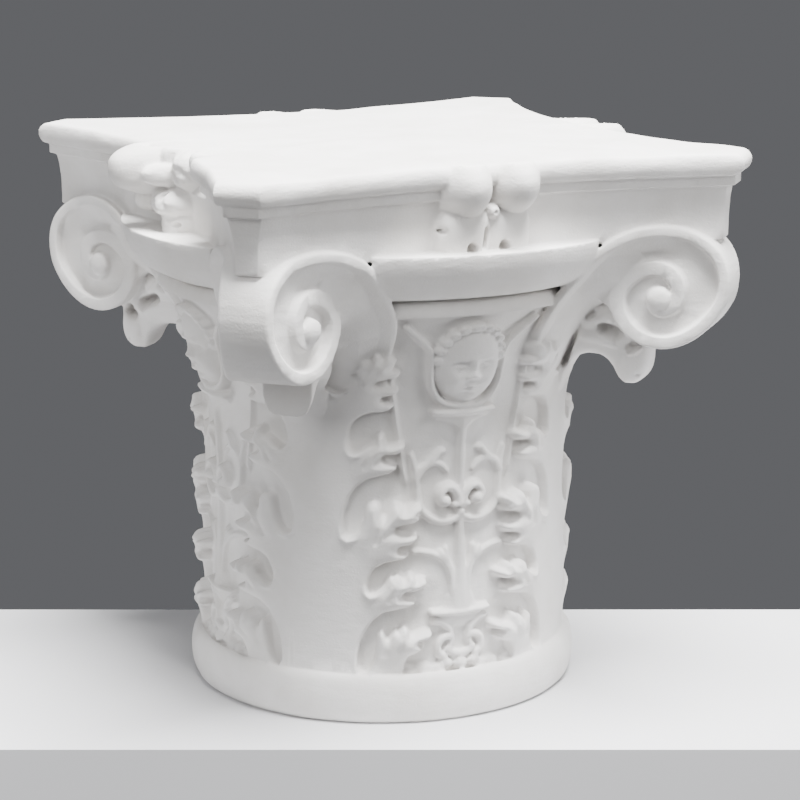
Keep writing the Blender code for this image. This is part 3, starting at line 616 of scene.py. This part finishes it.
@dataclass
class Abacus:
    """The slab on top, with hollow sides, cut corners, and a fascia, fillet and roll round its edge.

    The hollows are one for each side. A piece of the roll is broken off the left side, from the flower to
    break_end.
    """

    roll_half: float = 0.5037
    fillet_half: float = 0.4860
    fascia_half: float = 0.4642
    roll_cut: float = 0.0556
    fillet_cut: float = 0.0426
    fascia_cut: float = 0.0278
    foot: float = 0.8452
    fillet_foot: float = 0.9408
    crease: float = 0.9602
    hollows: tuple[float, float, float, float] = (0.0625, 0.0875, 0.0975, 0.0800)
    break_end: float = 0.36
    break_deep: float = 0.034
    steps: int = 90

    def levels(self) -> list[tuple[float, float, float]]:
        """Works out the slab's edge.

        Returns:
            Half-width, height and corner cut of each level, from below.
        """
        out = [(0.0, self.foot, self.fascia_cut), (self.fascia_half * 0.8, self.foot, self.fascia_cut),
               (self.fascia_half - 0.002, self.foot, self.fascia_cut)]
        for k in range(13):
            s = k / 12
            out.append((self.fascia_half + (self.fillet_half - 0.010 - self.fascia_half) * s ** 3,
                        self.foot + 0.002 + (self.fillet_foot - self.foot - 0.002) * s,
                        self.fascia_cut + (self.fillet_cut - self.fascia_cut) * s ** 3))
        out += [(self.fillet_half, self.fillet_foot + 0.001, self.fillet_cut),
                (self.fillet_half, self.crease - 0.003, self.fillet_cut),
                (self.fillet_half - 0.009, self.crease, self.fillet_cut)]
        for k in range(15):
            t = math.pi * (k / 14 - 0.5)
            out.append((self.roll_half - 0.0150 * (1 - math.cos(t) ** 0.8),
                        self.crease + (1.0 - self.crease) * (0.5 + 0.5 * math.sin(t)), self.roll_cut))
        out += [(self.roll_half - 0.022, 1.0, self.roll_cut), (self.roll_half * 0.7, 1.0, self.roll_cut),
                (0.0, 1.0, 0.0)]
        return out

    def build(self) -> bpy.types.Object:
        """Builds the slab.

        Returns:
            The new object.
        """
        levels = np.array(self.levels())
        run = np.linspace(-1.0, 1.0, self.steps + 1)
        loops = []
        for half, height, cut in levels:
            ring = []
            for face in range(4):
                along = run * (half - cut)
                out = -(half - self.hollows[face] * (1 - run ** 2) * (1.0 if half > 0 else 0.0))
                if face == Side.LEFT.value and half > 0:
                    rough = 1.0 + 0.35 * ripple(run, run * 0.0, run * 0.0 + height, 0.10, 31)
                    lost = smooth((run - 0.02) / 0.05) * smooth((self.break_end - run) / 0.04)
                    out = out + self.break_deep * rough * lost * smooth((height - 0.925) / 0.02)
                way = face * math.pi / 2
                ring.append(np.stack([along * math.cos(way) - out * math.sin(way),
                                      along * math.sin(way) + out * math.cos(way), np.full_like(run, height)], 1))
            ring = np.vstack(ring + [ring[0][:1]])
            loops.append(ring if half > 0 else np.repeat([[0.0, 0.0, height]], len(ring), 0))
        places = np.array(loops)
        x, y, z = places[..., 0], places[..., 1], places[..., 2]
        rim = smooth((np.hypot(x, y) - 0.30) / 0.1)
        wave = ripple(x, y, z * 0.3, 0.09, 11) * 0.0016 * rim
        places[..., 0] += wave * np.sign(x) * smooth(np.abs(x) / 0.2)
        places[..., 1] += wave * np.sign(y) * smooth(np.abs(y) / 0.2)
        places[..., 2] -= (0.0015 + 0.0015 * ripple(x, y, z, 0.16, 5)) * (z > 0.985)
        return grid_object("abacus", places.shape[1] - 1, places.shape[0] - 1, places)


@dataclass
class Volute:
    """A corner scroll: a coil on each cheek, the band between them, and the stalk up from the bell.

    Angles are in degrees round the eye, with 0 straight out from the bell, and fall as the coil winds in.
    """

    reach: float = 0.5371
    eye_height: float = 0.7425
    eye_radius: float = 0.0205
    eye_high: float = 0.0110
    half_width: float = 0.0725
    taper: float = 0.25
    deep: float = 0.0220
    ridge: float = 0.0160
    rim_rounding: float = 0.0045
    coil_start: float = 160.0
    coil_closing: float = 40.0
    stalk_start: float = 212.0
    stalk_sweep: float = 100.0
    stalk_deep: float = 0.0950
    angles: tuple[float, ...] = (-235.0, -200.0, -180.0, -155.0, -135.0, -90.0, -45.0, 0.0, 20.0, 45.0, 90.0, 135.0,
                                 180.0, 225.0, 270.0, 315.0, 360.0, 405.0, 450.0, 495.0, 540.0, 585.0)
    radii: tuple[float, ...] = (0.3900, 0.2266, 0.1700, 0.1365, 0.1310, 0.1305, 0.1330, 0.1150, 0.1035, 0.0950,
                                0.0892, 0.0850, 0.0820, 0.0715, 0.0640, 0.0530, 0.0405, 0.0345, 0.0285, 0.0215,
                                0.0185, 0.0180)

    def line(self, angle: np.ndarray) -> np.ndarray:
        """Distance of the coil's outer line from the eye, at an angle that falls as it winds in."""
        return eased(-angle, self.angles, self.radii)

    def cheek(self, reach: np.ndarray) -> np.ndarray:
        """Half the scroll's width at a distance from the upright axis."""
        return self.half_width - self.taper * (reach - self.reach)

    def overlap(self, reach: np.ndarray) -> np.ndarray:
        """How far the scroll's upper rim bends out to pass before the fascia."""
        return np.clip(0.018 - 0.395 * (reach - self.reach), 0.0, 0.052)

    def hollow(self, r: np.ndarray, angle: np.ndarray) -> np.ndarray:
        """Works out how far the cheek lies below its ridges.

        Args:
            r: Distances from the eye.
            angle: Angles round the eye.

        Returns:
            The depth at each place.
        """
        out = np.zeros_like(r)
        for k in (-1, 0, 1):
            wound = angle - 360.0 * k
            outer, inner = self.line(wound), self.line(wound - 360.0)
            inward = smooth((self.coil_start - wound) / 360.0)
            wide = self.ridge * (1.0 + 0.45 * inward)
            edge = outer - wide
            s = (r - inner) / np.maximum(edge - inner, 1e-4)
            cut = (0.55 + 0.45 * np.clip(s, 0, 1)) * smooth((r - inner) / 0.0065)
            cut = cut * smooth((edge - r) / 0.0050)
            out = np.maximum(out, self.deep * (1.0 - 0.2 * inward) * cut * smooth((edge - inner) / 0.010))
        return out

    def build(self, corner: Corner) -> list[bpy.types.Object]:
        """Builds the coil and its stalk at one corner.

        Args:
            corner: The corner they go to.

        Returns:
            The two new objects.
        """
        turn = corner_turn(corner)
        return [self.coil(turn), self.stalk(turn)]

    def coil(self, turn: np.ndarray) -> bpy.types.Object:
        """Builds the rolled end.

        Args:
            turn: The matrix that takes it to its corner.

        Returns:
            The new object.
        """
        across, face_rows, band_rows = 240, 110, 24
        rows = 2 * face_rows + band_rows
        angle = self.coil_start - np.linspace(0.0, 360.0, across + 1)[None, :]
        row = np.arange(rows + 1)[:, None]
        share = np.minimum(np.minimum(row, rows - row) / face_rows, 1.0)
        outer = self.line(angle)
        closed = smooth((self.coil_start - 360.0 + self.coil_closing - angle) / self.coil_closing)
        outer = outer + (self.line(np.array([self.coil_start])) - outer) * closed
        r = outer * share
        reach = self.reach + r * np.cos(np.radians(angle))
        band = np.clip((row - face_rows) / band_rows, 0.0, 1.0) * 2.0 - 1.0
        side = np.where(share < 1.0, np.where(row < rows / 2, -1.0, 1.0), band)
        crown = self.eye_high * np.sqrt(np.clip(1.0 - (r / self.eye_radius) ** 2, 0.0, 1.0))
        round_off = self.rim_rounding * np.clip((share - 0.965) / 0.035, 0.0, 1.0) ** 2
        z = self.eye_height + r * np.sin(np.radians(angle))
        lift = smooth((z - 0.775) / 0.065) * smooth((share - 0.45) / 0.45)
        sunk = self.hollow(r, np.broadcast_to(angle, r.shape)) * (1.0 - 0.65 * lift)
        half = self.cheek(reach) - sunk + crown - round_off + lift * self.overlap(reach)
        places = np.stack([reach, side * half, z], 2)
        return grid_object("coil", across, rows, places @ turn)

    def stalk(self, turn: np.ndarray) -> bpy.types.Object:
        """Builds the band from the bell up to the coil, its cheeks sunk below a rim.

        Each section runs from the middle of the band over one rim, down that cheek, and back up the other
        one. The inner edges are pinched together at the foot.

        Args:
            turn: The matrix that takes it to its corner.

        Returns:
            The new object.
        """
        stations, deep = 60, self.stalk_deep
        depths = np.array([0.0, 0.004, self.ridge * 0.8, self.ridge, self.ridge * 1.25, 0.040, 0.065, deep])
        sunk = np.array([0.004, 0.0, 0.0, 0.25, 0.85, 1.0, 0.9, 0.8]) * np.array([1.0] + [self.deep] * 7)
        spread = np.array([1.0, 1.0, 1.0, 1.0, 0.92, 0.75, 0.45, 0.1])
        pinch = np.array([0.0, 0.0, 0.0, 0.0, 0.04, 0.22, 0.52, 0.80])
        order = list(range(8)) + list(range(7, -1, -1)) + [0]
        sides = np.array([1.0] * 8 + [-1.0] * 8 + [1.0])
        k = np.linspace(0.0, 1.0, stations + 1)
        angle = self.stalk_start - self.stalk_sweep * k
        outer = self.line(angle)
        x0 = self.reach + outer * np.cos(np.radians(angle))
        z0 = self.eye_height + outer * np.sin(np.radians(angle))
        nx, nz = -np.gradient(z0), np.gradient(x0)
        size = np.hypot(nx, nz)
        nx, nz = -nx / size, -nz / size
        limit = 0.42 + 0.58 * k
        loops = []
        for i in range(stations + 1):
            down = np.minimum(depths[order], deep * limit[i])
            x, z = x0[i] + nx[i] * down, z0[i] + nz[i] * down
            widest = 0.124 + 0.036 * smooth((z - 0.62) / 0.12)
            half = np.minimum(self.cheek(x) + spread[order] * self.overlap(x), widest) - sunk[order]
            half = half * (1.0 - pinch[order] * smooth((0.62 - k[i]) / 0.30))
            loops.append(np.stack([x, sides * half, z], 1))
        ends = [np.repeat(loop.mean(0)[None], len(order), 0) for loop in (loops[0], loops[-1])]
        places = np.array([ends[0]] + loops + [ends[1]])
        return grid_object("stalk", len(order) - 1, stations + 2, places @ turn)


@dataclass
class LeafHead:
    """The tip of a leaf that curls out under a volute."""

    under_reach: tuple[float, ...] = (0.290, 0.335, 0.356, 0.3755, 0.390, 0.404, 0.421, 0.436, 0.447, 0.460, 0.470,
                                      0.481, 0.496, 0.506, 0.513)
    under_height: tuple[float, ...] = (0.500, 0.535, 0.585, 0.6175, 0.626, 0.629, 0.628, 0.6205, 0.6085, 0.585, 0.578,
                                       0.578, 0.585, 0.599, 0.635)
    half_reach: tuple[float, ...] = (0.290, 0.340, 0.362, 0.385, 0.420, 0.450, 0.480, 0.505, 0.513)
    half_width: tuple[float, ...] = (0.024, 0.026, 0.038, 0.050, 0.049, 0.047, 0.042, 0.035, 0.022)
    root: float = 0.292
    end: float = 0.513
    broken_end: float = 0.468
    top_height: float = 0.757
    top_fall: float = 0.03
    thinnest: float = 0.008

    def build(self, corner: Corner) -> list[bpy.types.Object]:
        """Builds the tip at one corner. The one nearest the camera has lost its end.

        Args:
            corner: The corner it goes to.

        Returns:
            A list of the one new object.
        """
        stop = self.broken_end if corner is Corner.NEAR else self.end
        stations, across = 110, 150
        k = np.linspace(0.0, 1.0, stations + 1)[:, None]
        reach = self.root + (stop - self.root) * k
        low = eased(reach, self.under_reach, self.under_height)
        top = self.top_height - self.top_fall * k
        half = eased(reach, self.half_reach, self.half_width)
        a = np.linspace(0.0, 2.0 * math.pi, across + 1)[None, :]
        c, s = np.cos(a), np.sin(a)
        z = (low + top) / 2 + np.sign(s) * np.abs(s) ** 0.6 * (top - low) / 2
        reach = np.broadcast_to(reach, z.shape)
        flank = self.side(reach, z) * smooth(np.abs(c) / 0.35)
        y = np.sign(c) * np.maximum(np.abs(c) ** 0.40 * half + flank, self.thinnest)
        y = np.where(np.abs(c) < 1e-9, 0.0, y)
        loops = np.stack([reach, y, z], 2)
        caps = [np.repeat(loops[i].mean(0)[None], across + 1, 0)[None] for i in (0, -1)]
        places = np.concatenate([caps[0], loops, caps[1]])
        return [grid_object("leaf_tip", across, stations + 2, places @ corner_turn(corner))]

    def side(self, reach: np.ndarray, z: np.ndarray) -> np.ndarray:
        """Carves the flanks of the tip: a ringed eyelet, drilled hollows and the blunt end.

        Args:
            reach: Distances from the upright axis.
            z: Heights.

        Returns:
            How far the carving stands out at each place.
        """
        flank = Carving(reach, z)
        flank.knob((0.411, 0.704), 0.0280, 0.0240, 0.0160)
        flank.knob((0.438, 0.706), 0.0170, 0.0180, 0.0140)
        flank.bar((0.400, 0.668), (0.462, 0.655), (0.0140, 0.0100), (0.0060, 0.0060))
        flank.knob((0.491, 0.612), 0.0240, 0.0360, 0.0070)
        flank.sink((0.411, 0.704), (0.416, 0.706), 0.0100, 0.016)
        flank.sink((0.434, 0.678), (0.458, 0.670), 0.0130, 0.045)
        flank.sink((0.482, 0.644), (0.492, 0.650), 0.0110, 0.040)
        flank.sink((0.494, 0.598), (0.494, 0.598), 0.0050, 0.007)
        flank.sink((0.380, 0.692), (0.350, 0.618), 0.0190, 0.045)
        return flank.top


@dataclass
class Fleuron:
    """The flower in the middle of each side of the abacus, carved as two bulbs over two blunt petals.

    The one on the left side is broken. It starts sunk behind the fillet's plane, and forward brings it out
    on a side where the hollow lies deep.
    """

    wide: float = 0.125
    foot: float = 0.8460
    top: float = 1.0
    middle: float = 0.9260
    sunk: float = 0.080
    back: float = 0.110
    forward: tuple[float, float, float, float] = (0.0, 0.030, 0.0, 0.0)

    def carve(self, x: np.ndarray, z: np.ndarray, broken: bool) -> np.ndarray:
        """Carves the flower.

        Args:
            x: Places along the side, from its middle.
            z: Heights.
            broken: Whether it is the broken one.

        Returns:
            How far the flower stands off the fillet's plane at each place.
        """
        flower = Carving(x, z)
        flower.top[:] = -self.sunk

        def boss(cx: float, cz: float, rx: float, rz: float, high: float, square: float = 2.6) -> None:
            """A fat rounded block, egg-like at square 2."""
            part = np.clip(1.0 - np.abs((x - cx) / rx) ** square - np.abs((z - cz) / rz) ** square, 0.0, 1.0)
            block = -self.sunk + (self.sunk + high) * part ** (0.80 / square)
            flower.raise_to(np.where(part > 0.0, block, -self.sunk))

        boss(-0.004, 0.915, 0.070, 0.060, -0.004)
        if broken:
            boss(-0.050, 0.958, 0.052, 0.050, 0.096)
            boss(-0.002, 0.952, 0.034, 0.026, 0.052)
            boss(0.040, 0.960, 0.050, 0.040, 0.010)
            boss(-0.052, 0.905, 0.026, 0.030, 0.050)
            boss(0.006, 0.902, 0.058, 0.028, 0.036)
            boss(0.018, 0.868, 0.042, 0.030, 0.022)
            rough = ripple(x, z, x * 0.0, 0.022, 21) * 0.004 + ripple(x, z, x * 0.0, 0.010, 22) * 0.002
            flower.top += rough * smooth((x + 0.020) / 0.030)
            for at, r in (((0.020, 0.915), 0.008), ((-0.012, 0.906), 0.007), ((0.042, 0.868), 0.007)):
                flower.sink(at, at, r, 0.024)
            return flower.top
        boss(-0.045, 0.962, 0.054, 0.066, 0.058, 2.0)
        boss(0.046, 0.964, 0.052, 0.064, 0.058, 2.0)
        boss(-0.046, 0.882, 0.051, 0.048, 0.024, 3.6)
        boss(0.033, 0.882, 0.050, 0.048, 0.017, 3.6)
        flower.sink((0.002, 0.975), (0.001, 0.940), 0.0060, 0.012)
        flower.sink((-0.012, 0.890), (-0.016, 0.862), 0.0070, 0.030)
        for at, r in (((-0.040, 0.860), 0.0125), ((0.024, 0.860), 0.0125), ((-0.088, 0.890), 0.0060)):
            flower.sink(at, at, r, 0.045)
        boss(0.002, 0.9180, 0.0165, 0.0165, 0.0240)
        flower.sink((0.002, 0.918), (0.002, 0.918), 0.0048, 0.010)
        return flower.top

    def build(self, side: Side, face: float) -> list[bpy.types.Object]:
        """Builds the flower against one side.

        Args:
            side: The side it goes on.
            face: How far the middle of that side lies from the upright axis.

        Returns:
            A list of the one new object.
        """
        across, rings = 260, 90
        turn = np.linspace(0.0, 2.0 * math.pi, across + 1)[None, :]
        s = np.linspace(0.0, 1.0, rings + 1)[:, None]
        c, d = np.cos(turn), np.sin(turn)
        square = 1.0 / np.maximum(np.abs(c), np.abs(d))
        x = s * square * c * self.wide
        z = self.middle + s * square * d * np.where(d > 0, self.top - self.middle, self.middle - self.foot)
        out = face + self.carve(x, z, side is Side.LEFT)
        way = side.value * math.pi / 2
        places = np.stack([x * math.cos(way) + out * math.sin(way),
                           x * math.sin(way) - out * math.cos(way), z], 2)
        back = face - self.back
        pole = np.broadcast_to([back * math.sin(way), -back * math.cos(way), self.middle], places[:1].shape)
        return [grid_object("fleuron", across, rings + 1, np.concatenate([places, pole]))]


def linear(code: str) -> tuple[float, float, float, float]:
    """Turns a hex sRGB colour linear.

    Args:
        code: The colour, as a hash and six digits.

    Returns:
        Red, green, blue and an opacity of 1.
    """
    parts = [int(code[k:k + 2], 16) / 255 for k in (1, 3, 5)]
    r, g, b = [p / 12.92 if p <= 0.04045 else ((p + 0.055) / 1.055) ** 2.4 for p in parts]
    return r, g, b, 1.0


def add_node(tree: bpy.types.NodeTree, kind: str, settings: dict | None = None,
             links: dict | None = None) -> bpy.types.Node:
    """Adds a node.

    Args:
        tree: The node tree.
        kind: The node's type name.
        settings: Property or input names with their values.
        links: Input names with the output sockets that feed them.

    Returns:
        The new node.
    """
    node = tree.nodes.new(kind)
    for name, value in (settings or {}).items():
        if name in node.inputs:
            node.inputs[name].default_value = value
        else:
            setattr(node, name, value)
    for name, source in (links or {}).items():
        tree.links.new(source, node.inputs[name])
    return node


@dataclass(frozen=True)
class CastPlaster:
    """Gypsum plaster, cast and left unpainted: matt, chalk white, with brushed-on slurry and small air pits.

    Sizes of the surface are in millimetres, and each bump is a strength and a depth in metres.
    """

    light: str = "#E6E4E2"
    shade: str = "#D9D6D2"
    roughness: float = 0.82
    ior: float = 1.52
    cloud_mm: float = 60.0
    cloud_stops: tuple[float, float] = (0.30, 0.62)
    brush_mm: float = 7.0
    brush_stretch: tuple[float, float, float] = (0.35, 0.35, 1.0)
    brush_bump: tuple[float, float] = (0.50, 0.0012)
    grain_mm: float = 1.6
    grain_bump: tuple[float, float] = (0.35, 0.0005)
    pit_mm: float = 3.0
    pit_share: float = 0.16
    pit_bump: tuple[float, float] = (0.45, 0.0005)

    def build(self) -> bpy.types.Material:
        """Makes the material.

        Returns:
            The new material.
        """
        made = bpy.data.materials.new("cast_plaster")
        made.use_nodes = True
        tree = made.node_tree
        shader = tree.nodes["Principled BSDF"]
        shader.inputs["Roughness"].default_value = self.roughness
        shader.inputs["IOR"].default_value = self.ior
        place = add_node(tree, "ShaderNodeTexCoord").outputs["Object"]
        cloud = add_node(tree, "ShaderNodeTexNoise",
                         {"Scale": 1000 / self.cloud_mm, "Detail": 5.0, "Roughness": 0.6}, {"Vector": place})
        ramp = add_node(tree, "ShaderNodeValToRGB", links={"Fac": cloud.outputs["Fac"]})
        for stop, at, code in zip(ramp.color_ramp.elements, self.cloud_stops, (self.shade, self.light)):
            stop.position, stop.color = at, linear(code)
        tree.links.new(ramp.outputs["Color"], shader.inputs["Base Color"])
        flat = add_node(tree, "ShaderNodeMapping", {"Scale": self.brush_stretch}, {"Vector": place})
        brush = add_node(tree, "ShaderNodeTexNoise", {"Scale": 1000 / self.brush_mm, "Detail": 4.0},
                         {"Vector": flat.outputs["Vector"]})
        grain = add_node(tree, "ShaderNodeTexNoise", {"Scale": 1000 / self.grain_mm, "Detail": 2.0}, {"Vector": place})
        pits = add_node(tree, "ShaderNodeTexVoronoi", {"Scale": 1000 / self.pit_mm}, {"Vector": place})
        few = add_node(tree, "ShaderNodeMapRange",
                       {"From Min": 0.0, "From Max": self.pit_share, "To Min": -1.0, "To Max": 0.0},
                       {"Value": pits.outputs["Distance"]})
        under = {}
        for height, (strength, distance) in ((brush.outputs["Fac"], self.brush_bump),
                                             (grain.outputs["Fac"], self.grain_bump),
                                             (few.outputs["Result"], self.pit_bump)):
            bump = add_node(tree, "ShaderNodeBump", {"Strength": strength, "Distance": distance},
                            {"Height": height, **under})
            under = {"Normal": bump.outputs["Normal"]}
        tree.links.new(under["Normal"], shader.inputs["Normal"])
        return made


@dataclass
class Capital:
    """The whole cast: every carved form joined into one skin, then thinned and dressed."""

    bell: Bell = field(default_factory=Bell)
    abacus: Abacus = field(default_factory=Abacus)
    volute: Volute = field(default_factory=Volute)
    leaf_head: LeafHead = field(default_factory=LeafHead)
    fleuron: Fleuron = field(default_factory=Fleuron)
    finish: CastPlaster = field(default_factory=CastPlaster)
    grain_mm: float = 0.95
    quick_grain_mm: float = 2.2
    triangles: int = 192000
    base_snap: float = 0.0006

    def build(self) -> bpy.types.Object:
        """Builds, joins and dresses the cast.

        Returns:
            The finished piece.
        """
        made = [self.bell.build(), self.abacus.build()]
        for corner in Corner:
            made += self.volute.build(corner)
            made += self.leaf_head.build(corner)
        for side in Side:
            face = self.abacus.fillet_half - self.abacus.hollows[side.value] + self.fleuron.forward[side.value]
            made += self.fleuron.build(side, face)
        log.info("%d forms modelled", len(made))
        piece = self.join(made)
        self.unite(piece)
        piece.data.materials.clear()
        piece.data.materials.append(self.finish.build())
        return piece

    def join(self, made: list[bpy.types.Object]) -> bpy.types.Object:
        """Joins the forms into one object at the origin.

        Args:
            made: The forms.

        Returns:
            The joined object.
        """
        bpy.ops.object.select_all(action="DESELECT")
        for form in made:
            form.select_set(True)
        bpy.context.view_layer.objects.active = made[0]
        bpy.ops.object.join()
        piece = bpy.context.active_object
        piece.name = piece.data.name = "plaster_capital"
        return piece

    def unite(self, piece: bpy.types.Object) -> None:
        """Makes one closed skin of the overlapping forms, softens it, thins it and keeps it in the solid's box.

        Args:
            piece: The joined forms.
        """
        size = self.grain_mm / 1000
        skin = piece.modifiers.new("skin", "REMESH")
        skin.mode, skin.voxel_size, skin.use_smooth_shade = "VOXEL", size, True
        bpy.ops.object.modifier_apply(modifier="skin")
        soft = piece.modifiers.new("soft", "SMOOTH")
        soft.factor, soft.iterations = 0.35, 1
        bpy.ops.object.modifier_apply(modifier="soft")
        mesh = piece.data
        count = 2 * len(mesh.polygons)
        log.info("skin of %d triangles", count)
        thin = piece.modifiers.new("thin", "DECIMATE")
        thin.ratio = min(1.0, self.triangles / count)
        bpy.ops.object.modifier_apply(modifier="thin")
        flat = np.empty(len(mesh.vertices) * 3)
        mesh.vertices.foreach_get("co", flat)
        flat = flat.reshape(-1, 3)
        flat[:, 2] = np.clip(np.where(flat[:, 2] < self.base_snap, 0.0, flat[:, 2]), 0.0, HEIGHT)
        flat[:, :2] = np.clip(flat[:, :2], CAD_BOX[0][0], CAD_BOX[1][0])
        mesh.vertices.foreach_set("co", flat.ravel())
        mesh.update()
        bpy.ops.object.shade_smooth()


@dataclass(frozen=True)
class SoftLight:
    """A soft square light that faces the capital, in metres and watts."""

    name: str
    place: tuple[float, float, float]
    size: float
    watts: float
    aim_height: float = 0.2

    def build(self) -> None:
        """Adds the light."""
        bpy.ops.object.light_add(type="AREA", location=self.place)
        lamp = bpy.context.active_object
        lamp.name = self.name
        lamp.data.size, lamp.data.energy = self.size, self.watts
        away = Vector(self.place) - Vector((0.0, 0.0, self.aim_height))
        lamp.rotation_euler = away.to_track_quat("Z", "Y").to_euler()


@dataclass
class Studio:
    """A plain board under the capital, soft lights and the camera.

    The camera's distance and aim are in shares of the capital's height, its angles in degrees, and the
    board's sizes in metres.
    """

    azimuth: float = -25.55
    elevation: float = 12.82
    distance: float = 4.8185
    aim_height: float = 0.5067
    aim_right: float = 0.0336
    lens_mm: float = 117.19
    floor_width: float = 3.0
    floor_back: float = 0.130
    floor_front: float = 0.190
    floor_thick: float = 0.4
    floor_gap: float = 0.0002
    floor_colour: str = "#D9D9DB"
    wall_colour: str = "#8A8B8F"
    wall_strength: float = 0.5
    lights: tuple[SoftLight, ...] = (
        SoftLight("key", (0.1, -0.5, 2.3), 1.2, 340.0),
        SoftLight("fill", (-2.2, -1.4, 1.5), 1.4, 38.0),
        SoftLight("side", (1.6, -2.2, 1.6), 1.4, 46.0))

    def build(self) -> None:
        """Sets up the stage."""
        self.floor()
        self.wall()
        for lamp in self.lights:
            lamp.build()
        self.camera()

    def floor(self) -> None:
        """Adds the board, square to the camera's view, with its front edge in sight."""
        a = math.radians(self.azimuth)
        ahead = (self.floor_front - self.floor_back) / 2
        middle = -self.floor_gap - self.floor_thick / 2
        bpy.ops.mesh.primitive_cube_add(size=1.0, rotation=(0.0, 0.0, a),
                                        location=(math.sin(a) * ahead, -math.cos(a) * ahead, middle))
        floor = bpy.context.active_object
        floor.scale = (self.floor_width, self.floor_front + self.floor_back, self.floor_thick)
        bpy.ops.object.transform_apply(location=True, rotation=True, scale=True)
        floor.name = "floor"
        paint = bpy.data.materials.new("floor_paint")
        paint.use_nodes = True
        shader = paint.node_tree.nodes["Principled BSDF"]
        shader.inputs["Base Color"].default_value = linear(self.floor_colour)
        shader.inputs["Roughness"].default_value = 0.6
        floor.data.materials.append(paint)

    def wall(self) -> None:
        """Gives the world behind an even grey."""
        world = bpy.data.worlds.new("studio")
        world.use_nodes = True
        grey = world.node_tree.nodes["Background"]
        grey.inputs["Color"].default_value = linear(self.wall_colour)
        grey.inputs["Strength"].default_value = self.wall_strength
        bpy.context.scene.world = world

    def camera(self) -> None:
        """Adds the camera where the photographer stood."""
        a, e = math.radians(self.azimuth), math.radians(self.elevation)
        back = Vector((math.sin(a) * math.cos(e), -math.cos(a) * math.cos(e), math.sin(e)))
        right = Vector((math.cos(a), math.sin(a), 0.0))
        at = (Vector((0.0, 0.0, self.aim_height)) + back * self.distance + right * self.aim_right) * HEIGHT
        bpy.ops.object.camera_add(location=at, rotation=(-back).to_track_quat("-Z", "Y").to_euler())
        eye = bpy.context.active_object
        eye.data.lens, eye.data.sensor_width = self.lens_mm, 36.0
        bpy.context.scene.camera = eye


def main() -> None:
    """Builds the cast and its stage."""
    logging.basicConfig(level=logging.INFO, format="%(message)s")
    piece = Capital().build()
    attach(piece, "root")
    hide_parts("capital")
    log.info("%s: %d faces", piece.name, len(piece.data.polygons))
    Studio().build()


if __name__ == "__main__":
    main()
